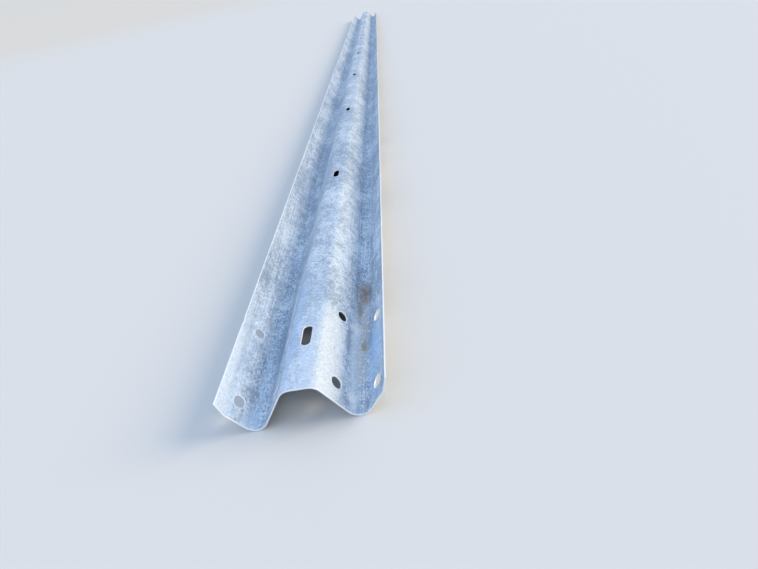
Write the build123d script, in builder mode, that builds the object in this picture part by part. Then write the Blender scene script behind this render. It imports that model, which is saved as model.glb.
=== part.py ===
from build123d import *
import os
from math import cos, radians, sin, tan

# W-beam rail of a highway guardrail: one galvanised steel strip, roll-formed along its length.
# It lies as it is stored, ridges down: two ridges on the floor, the centre flat and both edge
# lips up, so that its section reads as a W from the end. +Y runs along the rail and +Z is up.
# The origin is at mid length, on the plane that the ridges rest on. Everything is in mm.

# Strip
SHEET = 2.67  # 12 gauge

# Section, measured across the rail
WIDTH = 311.15  # over both lips
DEPTH = 82.55  # from the ridges' outer face to the centre flat's outer face
RIDGE_SPACING = 193.7  # between the two ridge lines
WEB_ANGLE = 56.0  # webs, between centre flat and ridges, from the rail's plane
FLANGE_ANGLE = 51.5  # flanges, between ridges and lips, from the rail's plane
BEND_RADIUS = 23.8  # inside the ridges and the shoulders
LIP_ANGLE = 75.0  # lips, from the rail's plane
LIP_LENGTH = 31.0  # middle line of a lip, from its sharp corner with the flange to its edge
LIP_RADIUS = 20.0  # inside the bend from flange to lip

# Slots along the rail
POST_SLOT_PITCH = 952.5  # one bay of the closest post spacing
POST_SLOT_PITCHES = 8
END_TO_SPLICE = 50.8  # rail end to the first column of splice slots
SPLICE_COLUMN_SPACING = 215.9  # first to second column, one on each side of a post slot

# Slots, overall. A splice slot is in the middle of a web's flat part, and off the middle of a
# flange's, towards the lip
POST_SLOT_LENGTH = 63.5
POST_SLOT_WIDTH = 19.05
SPLICE_SLOT_LENGTH = 28.6
SPLICE_SLOT_WIDTH = 23.0
FLANGE_SLOT_OFFSET = 4.5

# Worked out from the sizes above. The section is drawn as the strip's middle line
END_TO_POST_SLOT = END_TO_SPLICE + SPLICE_COLUMN_SPACING / 2
LENGTH = POST_SLOT_PITCHES * POST_SLOT_PITCH + 2 * END_TO_POST_SLOT
web = radians(WEB_ANGLE)
flange = radians(FLANGE_ANGLE)
lip = radians(LIP_ANGLE)
bend = BEND_RADIUS + SHEET / 2
lip_bend = LIP_RADIUS + SHEET / 2
flat_z = DEPTH - SHEET / 2

# Sharp corners of the middle line, before its bends: below the ridge, where web and flange meet,
# the shoulder beside the centre flat, the corner between flange and lip, and the end of the lip
corner_reach = bend / cos((web + flange) / 2)  # from the middle of the ridge's bend
ridge_x = RIDGE_SPACING / 2 + corner_reach * sin((flange - web) / 2)
ridge_z = SHEET / 2 + bend - corner_reach * cos((flange - web) / 2)
shoulder_x = ridge_x - (flat_z - ridge_z) / tan(web)
edge_x = WIDTH / 2 - SHEET / 2 * sin(lip)
lip_x = edge_x - LIP_LENGTH * cos(lip)
lip_z = ridge_z + (lip_x - ridge_x) * tan(flange)
edge_z = lip_z + LIP_LENGTH * sin(lip)

half_corners = [(shoulder_x, flat_z), (ridge_x, ridge_z), (lip_x, lip_z), (edge_x, edge_z)]
corners = [(-x, z) for x, z in reversed(half_corners)] + half_corners
bends = [lip_bend, bend, bend, bend, bend, lip_bend]


def flat_plane(flat, offset):
    """Plane on a flat part of the section, with its X axis along the rail and Z square to it.

    flat is a straight edge of the section's middle line, drawn from left to right. offset is the
    distance of the plane's origin from the edge's middle, positive to the right.
    """
    across = flat % 0.5
    middle = flat @ 0.5 + across * offset
    return Plane(
        origin=(middle.X, 0, middle.Y), x_dir=(0, 1, 0), z_dir=(-across.Y, 0, across.X)
    )


splice_columns = [
    (end * (LENGTH / 2 - END_TO_SPLICE - inset), 0)
    for end in (-1, 1)
    for inset in (0, SPLICE_COLUMN_SPACING)
]

with BuildPart() as rail:
    with BuildSketch(Plane.XZ):
        with BuildLine() as middle_line:
            FilletPolyline(*corners, radius=bends)
        trace(line_width=SHEET)
    extrude(amount=LENGTH / 2, both=True)

    flats = middle_line.edges().filter_by(GeomType.LINE).sort_by(Axis.X)
    _, left_flange, left_web, centre_flat, right_web, right_flange, _ = flats

    # Post bolt slots, along the centre flat
    with BuildSketch(flat_plane(centre_flat, 0)):
        with GridLocations(POST_SLOT_PITCH, 0, POST_SLOT_PITCHES + 1, 1):
            SlotOverall(POST_SLOT_LENGTH, POST_SLOT_WIDTH)
    extrude(amount=SHEET, both=True, mode=Mode.SUBTRACT)

    # Splice bolt slots, square to each web and flange at both ends
    for flat, offset in (
        (left_flange, -FLANGE_SLOT_OFFSET),
        (left_web, 0),
        (right_web, 0),
        (right_flange, FLANGE_SLOT_OFFSET),
    ):
        with BuildSketch(flat_plane(flat, offset)):
            with Locations(*splice_columns):
                SlotOverall(SPLICE_SLOT_LENGTH, SPLICE_SLOT_WIDTH)
        extrude(amount=SHEET, both=True, mode=Mode.SUBTRACT)

os.makedirs("parts", exist_ok=True)
rail.part.label = "w_beam_rail"
export_step(rail.part, "parts/w_beam_rail.step")
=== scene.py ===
import logging
import math
from collections.abc import Iterable, Iterator
from dataclasses import dataclass
from functools import cached_property
from itertools import accumulate
from typing import NamedTuple

import bmesh
import bpy
from mathutils import Matrix, Vector, noise


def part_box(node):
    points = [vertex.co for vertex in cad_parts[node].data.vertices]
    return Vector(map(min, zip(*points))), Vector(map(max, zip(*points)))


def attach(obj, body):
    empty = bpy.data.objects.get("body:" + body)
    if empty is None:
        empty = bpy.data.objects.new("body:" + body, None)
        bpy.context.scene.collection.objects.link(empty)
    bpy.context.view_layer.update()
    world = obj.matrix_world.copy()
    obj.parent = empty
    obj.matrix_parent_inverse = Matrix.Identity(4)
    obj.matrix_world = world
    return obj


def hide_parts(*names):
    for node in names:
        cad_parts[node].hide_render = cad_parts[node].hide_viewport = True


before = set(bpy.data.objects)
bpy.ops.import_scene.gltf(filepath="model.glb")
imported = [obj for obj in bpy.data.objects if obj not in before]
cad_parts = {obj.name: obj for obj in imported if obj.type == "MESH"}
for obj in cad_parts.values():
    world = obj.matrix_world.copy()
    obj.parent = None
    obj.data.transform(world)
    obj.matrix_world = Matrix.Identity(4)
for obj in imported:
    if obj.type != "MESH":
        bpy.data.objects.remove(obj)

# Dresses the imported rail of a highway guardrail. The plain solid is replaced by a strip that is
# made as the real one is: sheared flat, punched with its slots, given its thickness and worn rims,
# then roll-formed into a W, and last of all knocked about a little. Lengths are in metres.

logging.basicConfig(level=logging.INFO, format="%(message)s")
log = logging.getLogger("rail")

Tree = bpy.types.NodeTree
Socket = bpy.types.NodeSocket

MM = 0.001
NODE = "w_beam_rail"
PHOTO_WIDTH = 758  # pixels
SMOOTHLY = {"interpolation_type": "SMOOTHSTEP"}  # settings of a Map Range node


@dataclass(frozen=True)
class Span:
    """A stretch of the section's middle line, from the centre outwards.

    Args:
        length: developed length.
        turn: how far the heading turns along it, in radians, upwards positive.
        cells: mesh cells across it.
    """

    length: float
    turn: float = 0.0
    cells: int = 1

    def walk(self, at: Vector, heading: float, run: float) -> tuple[Vector, float]:
        """Follows the span for part of its length.

        Args:
            at: start point, across and up.
            heading: start heading, in radians.
            run: distance to go.

        Returns:
            The point reached and the heading there.
        """
        if not self.turn:
            return at + Vector((math.cos(heading), math.sin(heading))) * run, heading
        radius = self.length / self.turn
        ahead = heading + run / radius
        swing = Vector((math.sin(ahead) - math.sin(heading), math.cos(heading) - math.cos(ahead)))
        return at + swing * radius, ahead


class Starts(NamedTuple):
    """Developed distances from the strip's middle line to where each span of a half starts.

    Args:
        centre: the centre flat.
        shoulder: the bend from the centre flat to the web.
        web: the steep flat between shoulder and ridge.
        ridge: the bend that the rail lies on.
        flange: the flat outside the ridge.
        lip_bend: the soft bend from the flange to the lip.
        lip: the flat beside the edge.
        edge: the strip's edge, where the lip ends.
    """

    centre: float
    shoulder: float
    web: float
    ridge: float
    flange: float
    lip_bend: float
    lip: float
    edge: float


@dataclass(frozen=True)
class Section:
    """The rolled W section, symmetrical about the middle of the centre flat.

    Args:
        width: overall, over both lips.
        depth: from the ridges' outer face to the centre flat's outer face.
        sheet: thickness of the strip.
        ridge_spacing: between the two ridge lines.
        web_angle: of the webs from the rail's plane, in radians.
        flange_angle: of the flanges from the rail's plane, in radians.
        bend_radius: inside the ridges and shoulders.
        lip_angle: of the lips from the rail's plane, in radians.
        lip_length: sharp corner of flange and lip to the lip's edge.
        lip_radius: inside the bend from flange to lip.
    """

    width: float
    depth: float
    sheet: float = 2.67 * MM
    ridge_spacing: float = 193.7 * MM
    web_angle: float = math.radians(56)
    flange_angle: float = math.radians(51.5)
    bend_radius: float = 23.8 * MM
    lip_angle: float = math.radians(75)
    lip_length: float = 31 * MM
    lip_radius: float = 20 * MM

    @property
    def bend(self) -> float:
        """Radius of the middle line in the ridges and shoulders."""
        return self.bend_radius + self.sheet / 2

    @property
    def lip_bend(self) -> float:
        """Radius of the middle line between flange and lip."""
        return self.lip_radius + self.sheet / 2

    @property
    def web(self) -> float:
        """Flat length of a web, between its two bends."""
        rise = self.depth - self.sheet - 2 * self.bend * (1 - math.cos(self.web_angle))
        return rise / math.sin(self.web_angle)

    @property
    def flat_half(self) -> float:
        """Half the width of the centre flat."""
        bends = 2 * self.bend * math.sin(self.web_angle)
        return self.ridge_spacing / 2 - bends - self.web * math.cos(self.web_angle)

    @property
    def lip_tangent(self) -> float:
        """Length that the lip's bend takes from the flange and from the lip."""
        return self.lip_bend * math.tan((self.lip_angle - self.flange_angle) / 2)

    @property
    def flange(self) -> float:
        """Works out the flat of a flange.

        Returns:
            Its length, between its two bends.
        """
        edge = self.width / 2 - self.sheet / 2 * math.sin(self.lip_angle)
        corner = edge - self.lip_length * math.cos(self.lip_angle)
        across = corner - self.ridge_spacing / 2 - self.bend * math.sin(self.flange_angle)
        return across / math.cos(self.flange_angle) - self.lip_tangent

    @cached_property
    def spans(self) -> tuple[Span, ...]:
        """Lays out half of the section.

        Returns:
            Its spans, from the middle of the centre flat to the lip's edge.
        """
        ridge_turn = self.web_angle + self.flange_angle
        lip_turn = self.lip_angle - self.flange_angle
        return (
            Span(self.flat_half, cells=4),
            Span(self.bend * self.web_angle, -self.web_angle, cells=8),
            Span(self.web),
            Span(self.bend * ridge_turn, ridge_turn, cells=16),
            Span(self.flange),
            Span(self.lip_bend * lip_turn, lip_turn, cells=3),
            Span(self.lip_length - self.lip_tangent, cells=3),
        )

    @cached_property
    def starts(self) -> Starts:
        """Where the spans start, from the middle to the edge."""
        return Starts(*accumulate((span.length for span in self.spans), initial=0.0))

    def place(self, across: float, lift: float) -> Vector:
        """Takes a point of the flat strip to its place on the rolled section.

        Args:
            across: developed distance from the strip's middle line.
            lift: distance from the middle of the thickness, upwards positive.

        Returns:
            The point's place across and up.
        """
        at, heading, left = Vector((0, self.depth - self.sheet / 2)), 0.0, abs(across)
        for span in self.spans:
            run = min(left, span.length)
            at, heading = span.walk(at, heading, run)
            left -= run
            if left <= 0:
                break
        at += Vector((-math.sin(heading), math.cos(heading))) * lift
        return Vector((math.copysign(at.x, across), at.y))


@dataclass(frozen=True)
class Slot:
    """A punched slot with round ends, its long axis along the rail.

    Args:
        across: developed distance of its centre from the strip's middle line.
        along: place of its centre along the rail.
        width: overall.
        length: overall.
        block: half width and half length of the rectangle of mesh cells that it is let into.
        cells: mesh cells across and along that rectangle.
    """

    across: float
    along: float
    width: float
    length: float
    block: tuple[float, float]
    cells: tuple[int, int]

    def clearance(self, across: float, along: float) -> float:
        """Distance of a point of the flat strip from the slot's rim."""
        straight = max(abs(along - self.along) - (self.length - self.width) / 2, 0)
        return math.hypot(across - self.across, straight) - self.width / 2

    def holds(self, point: Vector) -> bool:
        """Whether a point of the flat strip lies in the slot's rectangle of cells."""
        slack = 0.01 * MM
        return (
            abs(point.x - self.across) < self.block[0] + slack
            and abs(point.y - self.along) < self.block[1] + slack
        )

    def punch(self, bm: bmesh.types.BMesh) -> None:
        """Cuts the slot into the flat strip and joins its rim to the cells around it.

        The rim is held above the strip until it is joined, because two loops in one plane can be
        joined across the slot as well as round it.

        Args:
            bm: the flat strip.
        """
        gone = [f for f in bm.faces if self.holds(f.calc_center_median())]
        bmesh.ops.delete(bm, geom=gone, context="FACES")
        frame_edges = [
            e for e in bm.edges if e.is_boundary and all(self.holds(v.co) for v in e.verts)
        ]
        segments = 2 * sum(self.cells)
        above = Matrix.Translation((self.across, self.along, self.width / 2))
        rim = bmesh.ops.create_circle(
            bm,
            segments=segments,
            radius=self.width / 2,
            matrix=above @ Matrix.Rotation(math.pi / segments, 4, "Z"),
        )["verts"]
        for v in rim:
            v.co.y += math.copysign((self.length - self.width) / 2, v.co.y - self.along)
        rim_edges = list({e for v in rim for e in v.link_edges})
        bmesh.ops.bridge_loops(bm, edges=frame_edges + rim_edges)
        for v in rim:
            v.co.z = 0


@dataclass(frozen=True)
class SlotPlan:
    """Where the slots are punched.

    Args:
        length: of the rail.
        post_pitch: between post bolt slots.
        post_pitches: how many of those fit along the rail.
        post_size: width and length of a post bolt slot.
        post_cells: mesh cells across and along the rectangle around it.
        end_to_splice: rail end to the first column of splice slots.
        splice_columns: between the two columns of splice slots.
        splice_size: width and length of a splice slot.
        splice_cells: mesh cells across and along the rectangle around it.
        flange_offset: of a flange's slot from the middle of the flange, towards the lip.
        margin: of the rectangle of mesh cells beyond a slot.
    """

    length: float
    post_pitch: float = 952.5 * MM
    post_pitches: int = 8
    post_size: tuple[float, float] = (19.05 * MM, 63.5 * MM)
    post_cells: tuple[int, int] = (8, 12)
    end_to_splice: float = 50.8 * MM
    splice_columns: float = 215.9 * MM
    splice_size: tuple[float, float] = (23 * MM, 28.6 * MM)
    splice_cells: tuple[int, int] = (6, 8)
    flange_offset: float = 4.5 * MM
    margin: float = 4 * MM

    def post_slots(self, section: Section) -> Iterator[Slot]:
        """Lays out the post bolt slots, along the centre flat.

        Args:
            section: of the rail.

        Yields:
            Each slot.
        """
        width, length = self.post_size
        block = (section.flat_half, length / 2 + self.margin)
        for k in range(self.post_pitches + 1):
            along = (k - self.post_pitches / 2) * self.post_pitch
            yield Slot(0, along, width, length, block, self.post_cells)

    def splice_slots(self, section: Section) -> Iterator[Slot]:
        """Lays out the splice bolt slots, on each web and flange at both ends.

        Args:
            section: of the rail.

        Yields:
            Each slot.
        """
        starts = section.starts
        width, length = self.splice_size
        block = (width / 2 + self.margin, length / 2 + self.margin)
        web = (starts.web + starts.ridge) / 2
        flange = (starts.flange + starts.lip_bend) / 2 + self.flange_offset
        for end in (-1, 1):
            for inset in (0, self.splice_columns):
                along = end * (self.length / 2 - self.end_to_splice - inset)
                for across in (-flange, -web, web, flange):
                    yield Slot(across, along, width, length, block, self.splice_cells)


@dataclass(frozen=True)
class Knock:
    """A place where the used rail has been pushed out of shape.

    Args:
        across: developed distance of its centre from the strip's middle line.
        from_end: distance of its centre from the rail's near end.
        reach: how far it spreads across and along.
        depth: how far the sheet moves, upwards positive.
    """

    across: float
    from_end: float
    reach: tuple[float, float]
    depth: float

    def lift(self, across: float, from_end: float) -> float:
        """Works out what the knock does to a point of the flat strip.

        Args:
            across: developed distance of the point from the strip's middle line.
            from_end: distance of the point from the rail's near end.

        Returns:
            How far the point moves, square to the sheet.
        """
        u = (across - self.across) / self.reach[0]
        v = (from_end - self.from_end) / self.reach[1]
        return self.depth * math.exp(-u * u - v * v)


@dataclass(frozen=True)
class Strip:
    """The galvanised strip: its mesh, from the flat sheet to the rolled rail.

    Args:
        section: what it is rolled to.
        plan: where it is punched.
        step: longest mesh cell along the rail.
        rim: rounding of every sheared and punched edge.
        hem: width of the worn band along every rim, rounding included.
        wave_height: of the shallow waves that rolling leaves beside the centre flat.
        wave_rates: how many of them there are to a metre, across and along.
        knocks: dents.
    """

    section: Section
    plan: SlotPlan
    step: float = 50 * MM
    rim: float = 0.6 * MM
    hem: float = 2.4 * MM
    wave_height: float = 0.35 * MM
    wave_rates: tuple[float, float] = (9.0, 2.6)
    knocks: tuple[Knock, ...] = ()

    @cached_property
    def slots(self) -> tuple[Slot, ...]:
        """Every slot of the rail."""
        return (*self.plan.post_slots(self.section), *self.plan.splice_slots(self.section))

    def across_lines(self) -> list[float]:
        """Lays out the mesh lines that run along the rail.

        Returns:
            Their developed places, from the left edge to the right one.
        """
        starts, spans = self.section.starts, self.section.spans
        marks = [(start, span.cells) for start, span in zip(starts[1:], spans)]
        cells_up_to_slot = 2
        for slot in self.plan.splice_slots(self.section):
            if slot.across > 0 and slot.along > 0:
                half = slot.block[0]
                marks += [
                    (slot.across - half, cells_up_to_slot),
                    (slot.across + half, slot.cells[0]),
                ]
        half_lines = list(fill_between(sorted(set(marks))))
        return [-x for x in reversed(half_lines)] + [0.0] + half_lines

    def along_lines(self) -> list[float]:
        """Lays out the mesh lines that run across the rail.

        Returns:
            Their places, from the near end to the far one.
        """
        blocks = sorted({(s.along, s.block[1], s.cells[1]) for s in self.slots})
        end = self.plan.length / 2
        marks, last = [], -end
        for along, half, cells in blocks:
            gap = along - half - last
            marks += [(along - half, math.ceil(gap / self.step)), (along + half, cells)]
            last = along + half
        marks.append((end, math.ceil((end - last) / self.step)))
        return [-end, *fill_between(marks, -end)]

    def sheared(self) -> bmesh.types.BMesh:
        """Shears the flat strip.

        Returns:
            Its middle plane, with mesh lines at every bend and round every slot.
        """
        across, along = self.across_lines(), self.along_lines()
        bm = bmesh.new()
        bmesh.ops.create_grid(
            bm, x_segments=len(across) - 1, y_segments=len(along) - 1, size=1
        )
        for v in bm.verts:
            column = round((v.co.x + 1) / 2 * (len(across) - 1))
            row = round((v.co.y + 1) / 2 * (len(along) - 1))
            v.co = Vector((across[column], along[row], 0))
        return bm

    def thicken(self, bm: bmesh.types.BMesh) -> None:
        """Gives the punched strip its thickness, centred on its middle plane, and round rims.

        Args:
            bm: the flat strip.
        """
        bmesh.ops.recalc_face_normals(bm, faces=bm.faces)
        bmesh.ops.inset_region(
            bm, faces=bm.faces[:], thickness=self.hem, use_boundary=True, use_even_offset=True
        )
        bmesh.ops.solidify(bm, geom=bm.faces, thickness=self.section.sheet)
        middle = (max(v.co.z for v in bm.verts) + min(v.co.z for v in bm.verts)) / 2
        bmesh.ops.translate(bm, verts=bm.verts, vec=(0, 0, -middle))
        bmesh.ops.recalc_face_normals(bm, faces=bm.faces)
        nearly_square = math.radians(80)
        rims = [e for e in bm.edges if e.calc_face_angle(0) > nearly_square]
        bmesh.ops.bevel(
            bm,
            geom=rims,
            offset=self.rim,
            segments=2,
            profile=0.5,
            affect="EDGES",
            material=-1,
        )

    def wear(self, across: float, along: float) -> float:
        """Works out how worn a point of the flat strip is.

        Args:
            across: developed distance of the point from the strip's middle line.
            along: its place along the rail.

        Returns:
            1 on a rim, 0 from the inner line of its hem inwards.
        """
        side = self.section.starts.edge - abs(across)
        end = self.plan.length / 2 - abs(along)
        near = [s for s in self.slots if abs(s.along - along) < s.length]
        distance = min([side, end, *(abs(s.clearance(across, along)) for s in near)])
        just_short_of_hem = 0.95 * self.hem  # or the wear would spread into the cells beyond it
        return 1 - smooth(distance, self.rim, just_short_of_hem)

    def lift(self, across: float, along: float) -> float:
        """Works out how far the used rail is out of its true shape.

        Args:
            across: developed distance of the point from the strip's middle line.
            along: its place along the rail.

        Returns:
            How far the point moves, square to the sheet.
        """
        layer = 3.1  # of the noise, which picks one set of waves
        rate_across, rate_along = self.wave_rates
        swell = noise.noise(Vector((across * rate_across, along * rate_along, layer)))
        starts = self.section.starts
        beside_centre = smooth(abs(across), starts.shoulder, starts.web)
        wave = self.wave_height * (0.5 + 0.5 * swell) * beside_centre
        from_end = along + self.plan.length / 2
        return wave + sum(k.lift(across, from_end) for k in self.knocks)

    def roll(self, bm: bmesh.types.BMesh) -> None:
        """Rolls the flat strip to its section, and keeps what its finish reads on its points.

        Args:
            bm: the strip. Its layer "strip" gets each point's place on the flat strip, from the
                middle of the near end: across, along and up. Its layer "rim_wear" gets 1 on the
                rims and 0 away from them.
        """
        strip = bm.verts.layers.float_vector.new("strip")
        rim_wear = bm.verts.layers.float.new("rim_wear")
        near_end = Vector((0, -self.plan.length / 2, 0))
        for v in bm.verts:
            v[strip] = v.co - near_end
            v[rim_wear] = self.wear(v.co.x, v.co.y)
            at = self.section.place(v.co.x, v.co.z + self.lift(v.co.x, v.co.y))
            v.co = Vector((at.x, v.co.y, at.y))

    def make(self, name: str) -> bpy.types.Object:
        """Makes the rail's object.

        Args:
            name: of the object.

        Returns:
            The object, at the origin, with the attributes "strip" and "rim_wear".
        """
        bm = self.sheared()
        for slot in self.slots:
            slot.punch(bm)
        self.thicken(bm)
        self.roll(bm)
        for f in bm.faces:
            f.smooth = True
        return set_down(bm, name)


def smooth(value: float, low: float, high: float) -> float:
    """Goes smoothly from 0 at low to 1 at high."""
    t = min(max((value - low) / (high - low), 0), 1)
    return t * t * (3 - 2 * t)


def fill_between(marks: Iterable[tuple[float, int]], start: float = 0.0) -> Iterator[float]:
    """Divides each stretch up to a mark evenly.

    Args:
        marks: end of each stretch and its number of cells, in order.
        start: of the first stretch.

    Yields:
        The end of each cell.
    """
    for end, cells in marks:
        for k in range(1, cells + 1):
            yield start + (end - start) * k / cells
        start = end


def set_down(bm: bmesh.types.BMesh, name: str) -> bpy.types.Object:
    """Makes an object of a bmesh and sets it down in the scene.

    Args:
        bm: its shape, which is freed.
        name: of the object and of its mesh.

    Returns:
        The object, at the origin.
    """
    mesh = bpy.data.meshes.new(name)
    bm.to_mesh(mesh)
    bm.free()
    made = bpy.data.objects.new(name, mesh)
    bpy.context.scene.collection.objects.link(made)
    return made


def linear(colour: str) -> tuple[float, float, float, float]:
    """Turns an sRGB colour to linear values.

    Args:
        colour: its hex value, such as "#aabbcc".

    Returns:
        Red, green and blue, and an alpha of 1.
    """
    parts = [int(colour[k : k + 2], 16) / 255 for k in (1, 3, 5)]
    flat = [c / 12.92 if c <= 0.04045 else ((c + 0.055) / 1.055) ** 2.4 for c in parts]
    return (*flat, 1.0)


def blank_tree(owner: bpy.types.Material | bpy.types.World) -> Tree:
    """Empties the node tree of a material or of the world.

    Args:
        owner: whose tree it is.

    Returns:
        The tree, without nodes.
    """
    owner.use_nodes = True
    owner.node_tree.nodes.clear()
    return owner.node_tree


def add(
    tree: Tree, kind: str, sockets: dict[str | int, object] | None = None, **settings: object
) -> bpy.types.Node:
    """Adds a node to a tree.

    Args:
        tree: where it goes.
        kind: its type, without the leading "ShaderNode".
        sockets: input name or number to a value or to another node's output.
        settings: properties of the node itself.

    Returns:
        The node.
    """
    made = tree.nodes.new("ShaderNode" + kind)
    for name, value in settings.items():
        setattr(made, name, value)
    for name, value in (sockets or {}).items():
        if isinstance(value, Socket):
            tree.links.new(value, made.inputs[name])
        else:
            made.inputs[name].default_value = value
    return made


@dataclass(frozen=True)
class Mottle:
    """Random patches of the zinc, of other shapes on the strip's upper face than on its lower one.

    Args:
        size: of a patch, across and along.
        detail: how many finer layers it has.
        share: how far it changes the tone, where it does.
    """

    size: tuple[float, float]
    detail: float
    share: float = 1.0

    def pattern(self, tree: Tree, place: Socket) -> Socket:
        """Draws the patches.

        Args:
            tree: of the material.
            place: on the flat strip.

        Returns:
            A factor about 0.5.
        """
        # The faces are 2.67 mm apart, so this sets their patches some 25 patches apart.
        apart = 10 / MM
        rates = (1 / self.size[0], 1 / self.size[1], apart)
        scaled = add(tree, "VectorMath", {0: place, 1: rates}, operation="MULTIPLY").outputs[0]
        sockets = {"Vector": scaled, "Scale": 1.0, "Detail": self.detail}
        return add(tree, "TexNoise", sockets).outputs["Fac"]

    def tone(self, tree: Tree, place: Socket) -> Socket:
        """Draws what the patches add to the tone.

        Args:
            tree: of the material.
            place: on the flat strip.

        Returns:
            An amount about 0.
        """
        factor = self.pattern(tree, place)
        centred = add(tree, "Math", {0: factor, 1: 0.5}, operation="SUBTRACT").outputs[0]
        return add(tree, "Math", {0: centred, 1: self.share}, operation="MULTIPLY").outputs[0]


@dataclass(frozen=True)
class Mark:
    """A place on the upper face where the zinc is paler, duller or stained, or where light or
    shade is painted. Lengths are in mm.

    Args:
        tint: its colour.
        across: developed distance of its centre from the strip's middle line.
        from_end: distance of its centre from the rail's near end.
        reach: how far it spreads across and along.
        strength: how much of its tint shows at its centre, at most 1.
        ragged: how far its outline wanders, as a share of its reach.
        softness: share of its reach over which it fades out.
    """

    tint: str
    across: float
    from_end: float
    reach: tuple[float, float]
    strength: float
    ragged: float = 0.6
    softness: float = 0.8

    def distance(self, tree: Tree, place: Socket) -> Socket:
        """Measures how far a point is from the mark's centre.

        Args:
            tree: of the material.
            place: on the flat strip.

        Returns:
            The distance, as a share of the mark's reach.
        """
        centre = (self.across * MM, self.from_end * MM, 0.0)
        off = add(tree, "VectorMath", {0: place, 1: centre}, operation="SUBTRACT").outputs[0]
        rates = (1 / (self.reach[0] * MM), 1 / (self.reach[1] * MM), 0.0)
        scaled = add(tree, "VectorMath", {0: off, 1: rates}, operation="MULTIPLY").outputs[0]
        return add(tree, "VectorMath", {0: scaled}, operation="LENGTH").outputs["Value"]

    def mask(self, tree: Tree, place: Socket) -> Socket:
        """Draws where the mark is.

        Args:
            tree: of the material.
            place: on the flat strip.

        Returns:
            The mark's strength there, 0 outside it and on the lower face.
        """
        size = min(self.reach) * MM
        outline = Mottle((0.9 * size, 1.6 * size), 4.0).pattern(tree, place)
        sockets = {0: outline, 1: 2 * self.ragged, 2: self.distance(tree, place)}
        reached = add(tree, "Math", sockets, operation="MULTIPLY_ADD").outputs[0]
        end = 1 + self.ragged
        fade = {"From Min": end - self.softness, "From Max": end}
        fade |= {"To Min": self.strength, "To Max": 0.0}
        inside = add(tree, "MapRange", {"Value": reached, **fade}, **SMOOTHLY).outputs["Result"]
        up = add(tree, "SeparateXYZ", {0: place}).outputs["Z"]
        # The faces lie 1.3 mm above and below the middle of the sheet.
        above = {"Value": up, "From Min": 0.0, "From Max": 0.5 * MM}
        upper = add(tree, "MapRange", above, **SMOOTHLY).outputs["Result"]
        return add(tree, "Math", {0: inside, 1: upper}, operation="MULTIPLY").outputs[0]


# What the photograph shows on the zinc near the rail's end, from the first laid to the last.
# Some of these marks are painted light and shade, as said at each; the rest are the zinc's own.
MARKS = (
    # A painted highlight on the right shoulder and web, where the light from the right falls, and
    # its tongue
    Mark("#e4e8e7", 51, 105, (53, 245), 0.78, 0.4, 0.6),
    Mark("#e6ecef", 27, 250, (20, 80), 0.6, 0.5, 1.0),
    # Painted light on the centre flat, its left side and the left flange: paler and bluer facing
    # sky and lamp
    Mark("#e0ebf5", 6, 110, (34, 430), 0.65, 0.5, 1.0),
    Mark("#c9dff6", -30, 190, (23, 400), 0.65, 0.6, 1.0),
    Mark("#cce0f0", -200, 140, (26, 340), 0.5, 0.6, 1.0),
    # The left lip, painted white where the light from the right falls on it
    Mark("#eaf3f9", -232, 105, (36, 350), 0.88, 0.4, 0.75),
    # A pale corner at the open end of the left trough, painted light, and a pale streak of the
    # zinc in the trough
    Mark("#dce7f1", -151, 10, (32, 68), 0.85, 0.6, 1.0),
    Mark("#c5d6e6", -143, 170, (8, 260), 0.5, 0.8, 1.0),
    # Painted light: a pale highlight low on the right web, and the bluish sky light of the right
    # flange
    Mark("#f0f3f2", 117, 140, (20, 350), 0.95, 0.4, 0.9),
    Mark("#c2dcf8", 176, 145, (40, 175), 0.75, 0.6, 0.9),
    # The dull root of the left web, partly dull patina and partly painted shade
    Mark("#8093aa", -114, 240, (34, 290), 0.6, 0.6, 1.0),
    # A film of dirt along the right trough, with a dark line beside it
    Mark("#ded4c6", 134, 210, (24, 330), 0.65, 0.7, 1.0),
    Mark("#5f6672", 115, 400, (3, 160), 0.4, 0.5, 0.9),
    # A brown water stain with its run, and a smaller stain
    Mark("#896849", 136, 408, (32, 98), 0.85, 0.25, 1.1),
    Mark("#9c8570", 124, 335, (10, 62), 0.65),
    Mark("#a88f77", 138, 198, (10, 28), 0.7),
    # Painted shade low on the right web and low on the left flange, and a dull spot
    Mark("#8796a8", 96, 200, (9, 60), 0.55),
    Mark("#8798a4", -165, 92, (26, 12), 0.6),
    Mark("#8d979f", 62, 142, (3, 5), 0.7, 0.4),
)


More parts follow.
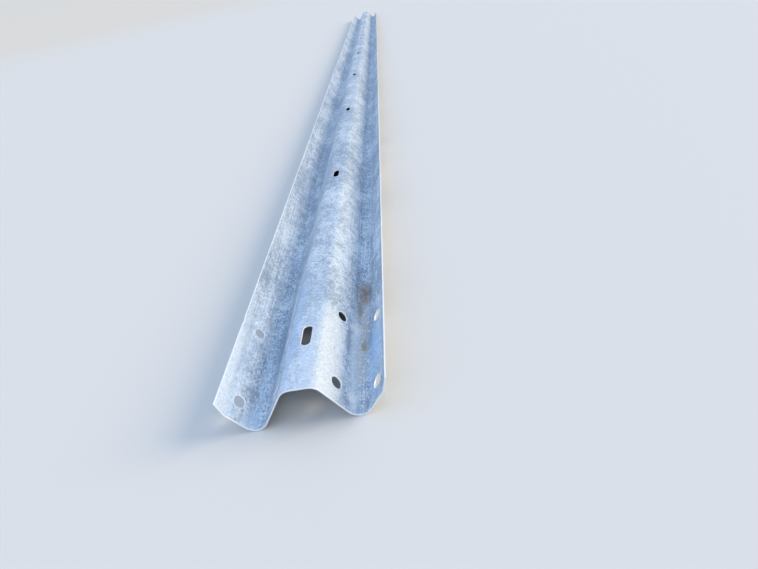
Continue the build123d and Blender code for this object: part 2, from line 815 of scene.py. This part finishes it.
@dataclass(frozen=True)
class GalvanisedSteel:
    """Hot-dip galvanised steel, some years old: zinc under a dull blue-grey patina.

    The eye sees a fine mottle of lighter and darker zinc in soft clouds, faint ripples across the
    strip where it was drawn out of the bath, streaks and pale flecks along the troughs where water
    runs and dries, and every cut rim bright.

    Args:
        zinc: palest zinc.
        dull: dullest zinc.
        bright: rubbed zinc on the rims.
        rubbed: how far the rims are rubbed bright, at most 1.
        metallic: share of bare metal in the patina.
        roughness: of the dullest and of the palest zinc.
        clouds: soft clouds over the whole strip.
        mottle: the fine mottle.
        blotches: patches between those two in size.
        streaks: of water, along the troughs.
        flecks: pale ones on the floors of the troughs.
        ripple_spacing: from one ripple of the bath to the next.
        ripple_wander: how far the ripples wander along the rail.
        ripple_drift: where they wander.
        ripple_patches: where they show.
        grain: of the zinc, which shows through every mark. The real grain is finer and is drawn
            as coarse as it needs to show.
    """

    zinc: str = "#e6edf1"
    dull: str = "#99a9b9"
    bright: str = "#fafbfb"
    rubbed: float = 0.9
    metallic: float = 0.4
    roughness: tuple[float, float] = (0.62, 0.48)
    clouds: Mottle = Mottle((110 * MM, 176 * MM), 3.0, 0.65)
    mottle: Mottle = Mottle((5.5 * MM, 7.15 * MM), 3.0, 0.8)
    blotches: Mottle = Mottle((22 * MM, 28 * MM), 2.0, 0.5)
    streaks: Mottle = Mottle((3 * MM, 120 * MM), 2.0, 0.55)
    flecks: Mottle = Mottle((4 * MM, 6.5 * MM), 3.0, 0.4)
    ripple_spacing: float = 7 * MM
    ripple_wander: float = 35 * MM
    ripple_drift: Mottle = Mottle((70 * MM, 50 * MM), 0.0)
    ripple_patches: Mottle = Mottle((35 * MM, 60 * MM), 1.0, 0.08)
    grain: Mottle = Mottle((3.5 * MM, 4.55 * MM), 2.0)

    def trough_tone(self, tree: Tree, place: Socket, across: Socket, starts: Starts) -> Socket:
        """Draws the streaks of the troughs and the flecks on their floors.

        Args:
            tree: of the material.
            place: on the flat strip.
            across: developed distance from the strip's middle line.
            starts: where the section's spans start.

        Returns:
            What they add to the tone, 0 outside the troughs.
        """
        flecks = self.flecks.pattern(tree, place)
        pale = {"Value": flecks, "From Min": 0.5, "From Max": 0.68, "To Min": -0.2, "To Max": 0.8}
        fleck = add(tree, "MapRange", pale, **SMOOTHLY).outputs["Result"]
        fade = 10 * MM
        floor = {"From Min": starts.flange + fade, "From Max": starts.flange - fade}
        floor |= {"Value": across, "To Max": self.flecks.share}
        on_floor = add(tree, "MapRange", floor, **SMOOTHLY).outputs["Result"]
        both = {0: fleck, 1: on_floor, 2: self.streaks.tone(tree, place)}
        amount = add(tree, "Math", both, operation="MULTIPLY_ADD").outputs[0]
        trough = {"Value": across, "From Min": starts.web + 25 * MM, "From Max": starts.ridge}
        in_trough = add(tree, "MapRange", trough, **SMOOTHLY).outputs["Result"]
        return add(tree, "Math", {0: amount, 1: in_trough}, operation="MULTIPLY").outputs[0]

    def ripple(self, tree: Tree, place: Socket, along: Socket) -> Socket:
        """Draws the ripples that the bath leaves across the strip.

        Args:
            tree: of the material.
            place: on the flat strip.
            along: distance from the rail's near end.

        Returns:
            Their height, from -1 to 1.
        """
        drift = {0: self.ripple_drift.pattern(tree, place), 1: self.ripple_wander, 2: along}
        drifted = add(tree, "Math", drift, operation="MULTIPLY_ADD").outputs[0]
        rate = math.tau / self.ripple_spacing
        turns = add(tree, "Math", {0: drifted, 1: rate}, operation="MULTIPLY").outputs[0]
        return add(tree, "Math", {0: turns}, operation="SINE").outputs[0]

    def ripple_share(self, tree: Tree, place: Socket, across: Socket, starts: Starts) -> Socket:
        """Draws where the ripples show: in patches, from one web to the other.

        Args:
            tree: of the material.
            place: on the flat strip.
            across: developed distance from the strip's middle line.
            starts: where the section's spans start.

        Returns:
            How far they change the tone.
        """
        patches = {"Value": self.ripple_patches.pattern(tree, place)}
        patches |= {"From Min": 0.42, "From Max": 0.68, "To Max": self.ripple_patches.share}
        patchy = add(tree, "MapRange", patches, **SMOOTHLY).outputs["Result"]
        webs = {"From Min": starts.ridge + 8 * MM, "From Max": starts.ridge - 20 * MM}
        on_web = add(tree, "MapRange", {"Value": across, **webs}, **SMOOTHLY).outputs["Result"]
        return add(tree, "Math", {0: patchy, 1: on_web}, operation="MULTIPLY").outputs[0]

    def tone(self, tree: Tree, place: Socket, starts: Starts) -> Socket:
        """Draws how light the zinc is.

        Args:
            tree: of the material.
            place: on the flat strip.
            starts: where the section's spans start.

        Returns:
            A factor, mostly between 0 and 1.
        """
        parts = add(tree, "SeparateXYZ", {0: place}).outputs
        across = add(tree, "Math", {0: parts["X"]}, operation="ABSOLUTE").outputs[0]
        ripple = self.ripple(tree, place, parts["Y"])
        share = self.ripple_share(tree, place, across, starts)
        total = 0.5
        for amount in (
            self.clouds.tone(tree, place),
            self.mottle.tone(tree, place),
            self.blotches.tone(tree, place),
            self.trough_tone(tree, place, across, starts),
            add(tree, "Math", {0: ripple, 1: share}, operation="MULTIPLY").outputs[0],
        ):
            total = add(tree, "Math", {0: total, 1: amount}, operation="ADD").outputs[0]
        return total

    def marked(self, tree: Tree, place: Socket, tone: Socket) -> Socket:
        """Draws the colour of the zinc with its marks, painted light and shade among them.

        Args:
            tree: of the material.
            place: on the flat strip.
            tone: how light the zinc is.

        Returns:
            The colour.
        """
        patina = {"Value": tone, "From Min": 0.25, "From Max": 0.8}
        light = add(tree, "MapRange", patina, **SMOOTHLY).outputs["Result"]
        layers = [(light, self.zinc)]
        layers += [(mark.mask(tree, place), mark.tint) for mark in MARKS]
        colour = linear(self.dull)
        for share, tint in layers:
            sockets = {"Factor": share, 6: colour, 7: linear(tint)}
            colour = add(tree, "Mix", sockets, data_type="RGBA").outputs[2]
        return colour

    def grained(self, tree: Tree, place: Socket, colour: Socket) -> Socket:
        """Draws the zinc's grain over a colour.

        Args:
            tree: of the material.
            place: on the flat strip.
            colour: what it is drawn over.

        Returns:
            The colour with the grain.
        """
        crystals = {"Value": self.grain.pattern(tree, place), "From Min": 0.3, "From Max": 0.7}
        crystals |= {"To Min": 0.87, "To Max": 1.09}
        shade = add(tree, "MapRange", crystals, **SMOOTHLY).outputs["Result"]
        sockets = {"Factor": 1.0, 6: colour, 7: shade}
        return add(tree, "Mix", sockets, data_type="RGBA", blend_type="MULTIPLY").outputs[2]

    def worn(self, tree: Tree, colour: Socket) -> Socket:
        """Rubs the rims bright.

        Args:
            tree: of the material.
            colour: of the zinc away from them.

        Returns:
            The colour with the rims.
        """
        rim = add(tree, "Attribute", attribute_name="rim_wear").outputs["Fac"]
        share = add(tree, "Math", {0: rim, 1: self.rubbed}, operation="MULTIPLY").outputs[0]
        sockets = {"Factor": share, 6: colour, 7: linear(self.bright)}
        return add(tree, "Mix", sockets, data_type="RGBA").outputs[2]

    def build(self, section: Section) -> bpy.types.Material:
        """Makes the material.

        Args:
            section: the section that its streaks follow.

        Returns:
            The material, which reads the attributes "strip" and "rim_wear".
        """
        material = bpy.data.materials.new("hot_dip_galvanised_steel")
        tree = blank_tree(material)
        place = add(tree, "Attribute", attribute_name="strip").outputs["Vector"]
        tone = self.tone(tree, place, section.starts)
        marked = self.marked(tree, place, tone)
        dullness = {"Value": tone, "From Min": 0.2, "From Max": 0.9}
        dullness |= {"To Min": self.roughness[0], "To Max": self.roughness[1]}
        relief = {"Height": tone, "Strength": 0.2, "Distance": 0.2 * MM}
        sockets = {
            "Base Color": self.worn(tree, self.grained(tree, place, marked)),
            "Metallic": self.metallic,
            "Roughness": add(tree, "MapRange", dullness, **SMOOTHLY).outputs["Result"],
            "Normal": add(tree, "Bump", relief).outputs["Normal"],
        }
        shader = add(tree, "BsdfPrincipled", sockets).outputs[0]
        add(tree, "OutputMaterial", {"Surface": shader})
        return material


@dataclass(frozen=True)
class Lamp:
    """A distant soft lamp.

    Args:
        name: of the lamp.
        colour: of its light.
        source: direction that its light comes from.
        spread: angle that it fills as seen from the rail, in degrees.
        strength: its light on a surface that faces it.
    """

    name: str
    colour: str
    source: tuple[float, float, float]
    spread: float
    strength: float

    def hang(self) -> None:
        """Adds the lamp to the scene."""
        data = bpy.data.lights.new(self.name, "SUN")
        data.angle = math.radians(self.spread)
        data.energy = self.strength
        data.color = linear(self.colour)[:3]
        made = bpy.data.objects.new(self.name, data)
        made.rotation_euler = Vector(self.source).to_track_quat("Z", "Y").to_euler()
        bpy.context.scene.collection.objects.link(made)


@dataclass(frozen=True)
class Studio:
    """Plain floor, soft light and the camera, placed as the photograph was taken.

    Args:
        rail_end: place of the rail's near end along the rail.
        stand: the camera's place from the near end's middle, across, along and up.
        yaw: of the camera to the left of the rail's direction, in degrees.
        pitch: of the camera downwards, in degrees.
        roll: of the camera clockwise, in degrees.
        focal: focal length in pixels of the photograph.
        floor: colour of the floor.
        floor_half: half the floor's width.
        floor_drop: how far it lies below the rail, so that the two share no plane.
        haze: distances over which it takes on the backdrop's colour.
        horizon: colour of the backdrop at the horizon.
        zenith: colour of the backdrop overhead.
        climb: heights of a ray of length 1 between which it turns from the one to the other.
        glow: strength of the backdrop's light.
        lamps: a warm key and a bluer fill.
    """

    rail_end: float
    stand: tuple[float, float, float] = (256.1 * MM, -721.7 * MM, 684.7 * MM)
    yaw: float = 6.08
    pitch: float = 30.19
    roll: float = 12.65
    focal: float = 547.0
    floor: str = "#e7ded2"
    floor_half: float = 60.0
    floor_drop: float = 0.2 * MM
    haze: tuple[float, float] = (8.0, 45.0)
    horizon: str = "#d0d2d4"
    zenith: str = "#aecaee"
    climb: tuple[float, float] = (0.02, 0.75)
    glow: float = 1.1
    lamps: tuple[Lamp, ...] = (
        Lamp("key", "#fff1da", (0.83, 0.15, 0.44), 36, 2.1),
        Lamp("fill", "#9fbdf5", (-0.6, -0.3, 0.75), 80, 0.65),
    )

    def camera(self) -> None:
        """Adds the camera and makes it the scene's own."""
        data = bpy.data.cameras.new("camera")
        data.lens = data.sensor_width * self.focal / PHOTO_WIDTH
        data.clip_end = 100
        made = bpy.data.objects.new("camera", data)
        turn = Matrix.Rotation(math.radians(self.yaw), 4, "Z")
        tilt = Matrix.Rotation(math.radians(90 - self.pitch), 4, "X")
        bank = Matrix.Rotation(math.radians(-self.roll), 4, "Z")
        x, y, z = self.stand
        made.matrix_world = Matrix.Translation((x, self.rail_end + y, z)) @ turn @ tilt @ bank
        bpy.context.scene.collection.objects.link(made)
        bpy.context.scene.camera = made

    def matt_floor(self) -> bpy.types.Material:
        """Makes the floor's material.

        Returns:
            The material, matt near the rail and of the backdrop's colour far away.
        """
        material = bpy.data.materials.new("matt_floor")
        tree = blank_tree(material)
        place = add(tree, "TexCoord").outputs["Object"]
        away = add(tree, "VectorMath", {0: place}, operation="LENGTH").outputs["Value"]
        near, far = self.haze
        sockets = {"Value": away, "From Min": near, "From Max": far}
        share = add(tree, "MapRange", sockets).outputs["Result"]
        plain = {"Base Color": linear(self.floor), "Roughness": 0.9}
        matt = add(tree, "BsdfPrincipled", plain).outputs[0]
        backdrop = {"Color": linear(self.horizon), "Strength": self.glow}
        haze = add(tree, "Emission", backdrop).outputs[0]
        surface = add(tree, "MixShader", {0: share, 1: matt, 2: haze}).outputs[0]
        add(tree, "OutputMaterial", {"Surface": surface})
        return material

    def ground(self) -> None:
        """Adds the floor."""
        bm = bmesh.new()
        bmesh.ops.create_grid(bm, x_segments=1, y_segments=1, size=self.floor_half)
        bmesh.ops.translate(bm, verts=bm.verts, vec=(0, 0, -self.floor_drop))
        made = set_down(bm, "floor")
        made.data.materials.append(self.matt_floor())

    def sky(self) -> None:
        """Lights the scene evenly, whiter at the horizon and bluer overhead."""
        world = bpy.data.worlds.new("world")
        bpy.context.scene.world = world
        tree = blank_tree(world)
        ray = add(tree, "TexCoord").outputs["Generated"]
        height = add(tree, "SeparateXYZ", {0: ray}).outputs["Z"]
        low, high = self.climb
        sockets = {"Value": height, "From Min": low, "From Max": high}
        share = add(tree, "MapRange", sockets).outputs["Result"]
        blend = {"Factor": share, 6: linear(self.horizon), 7: linear(self.zenith)}
        colour = add(tree, "Mix", blend, data_type="RGBA").outputs[2]
        light = add(tree, "Background", {"Color": colour, "Strength": self.glow}).outputs[0]
        add(tree, "OutputWorld", {"Surface": light})

    def build(self) -> None:
        """Sets up the whole stage."""
        self.camera()
        self.ground()
        self.sky()
        for lamp in self.lamps:
            lamp.hang()
        bpy.context.scene.view_settings.view_transform = "Standard"


def main() -> None:
    """Builds the rail and the stage, and reports them."""
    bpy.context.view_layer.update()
    low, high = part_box(NODE)
    section = Section(width=high.x - low.x, depth=high.z)
    nick = Knock(-section.starts.edge, 260 * MM, (24 * MM, 7 * MM), 3 * MM)
    strip = Strip(section, SlotPlan(length=high.y - low.y), knocks=(nick,))
    rail = strip.make("rail_strip")
    rail.data.materials.append(GalvanisedSteel().build(section))
    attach(rail, "root")
    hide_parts(NODE)
    triangles = sum(len(p.vertices) - 2 for p in rail.data.polygons)
    log.info("rail_strip: %d vertices, %d triangles", len(rail.data.vertices), triangles)
    Studio(rail_end=low.y).build()


if __name__ == "__main__":
    main()
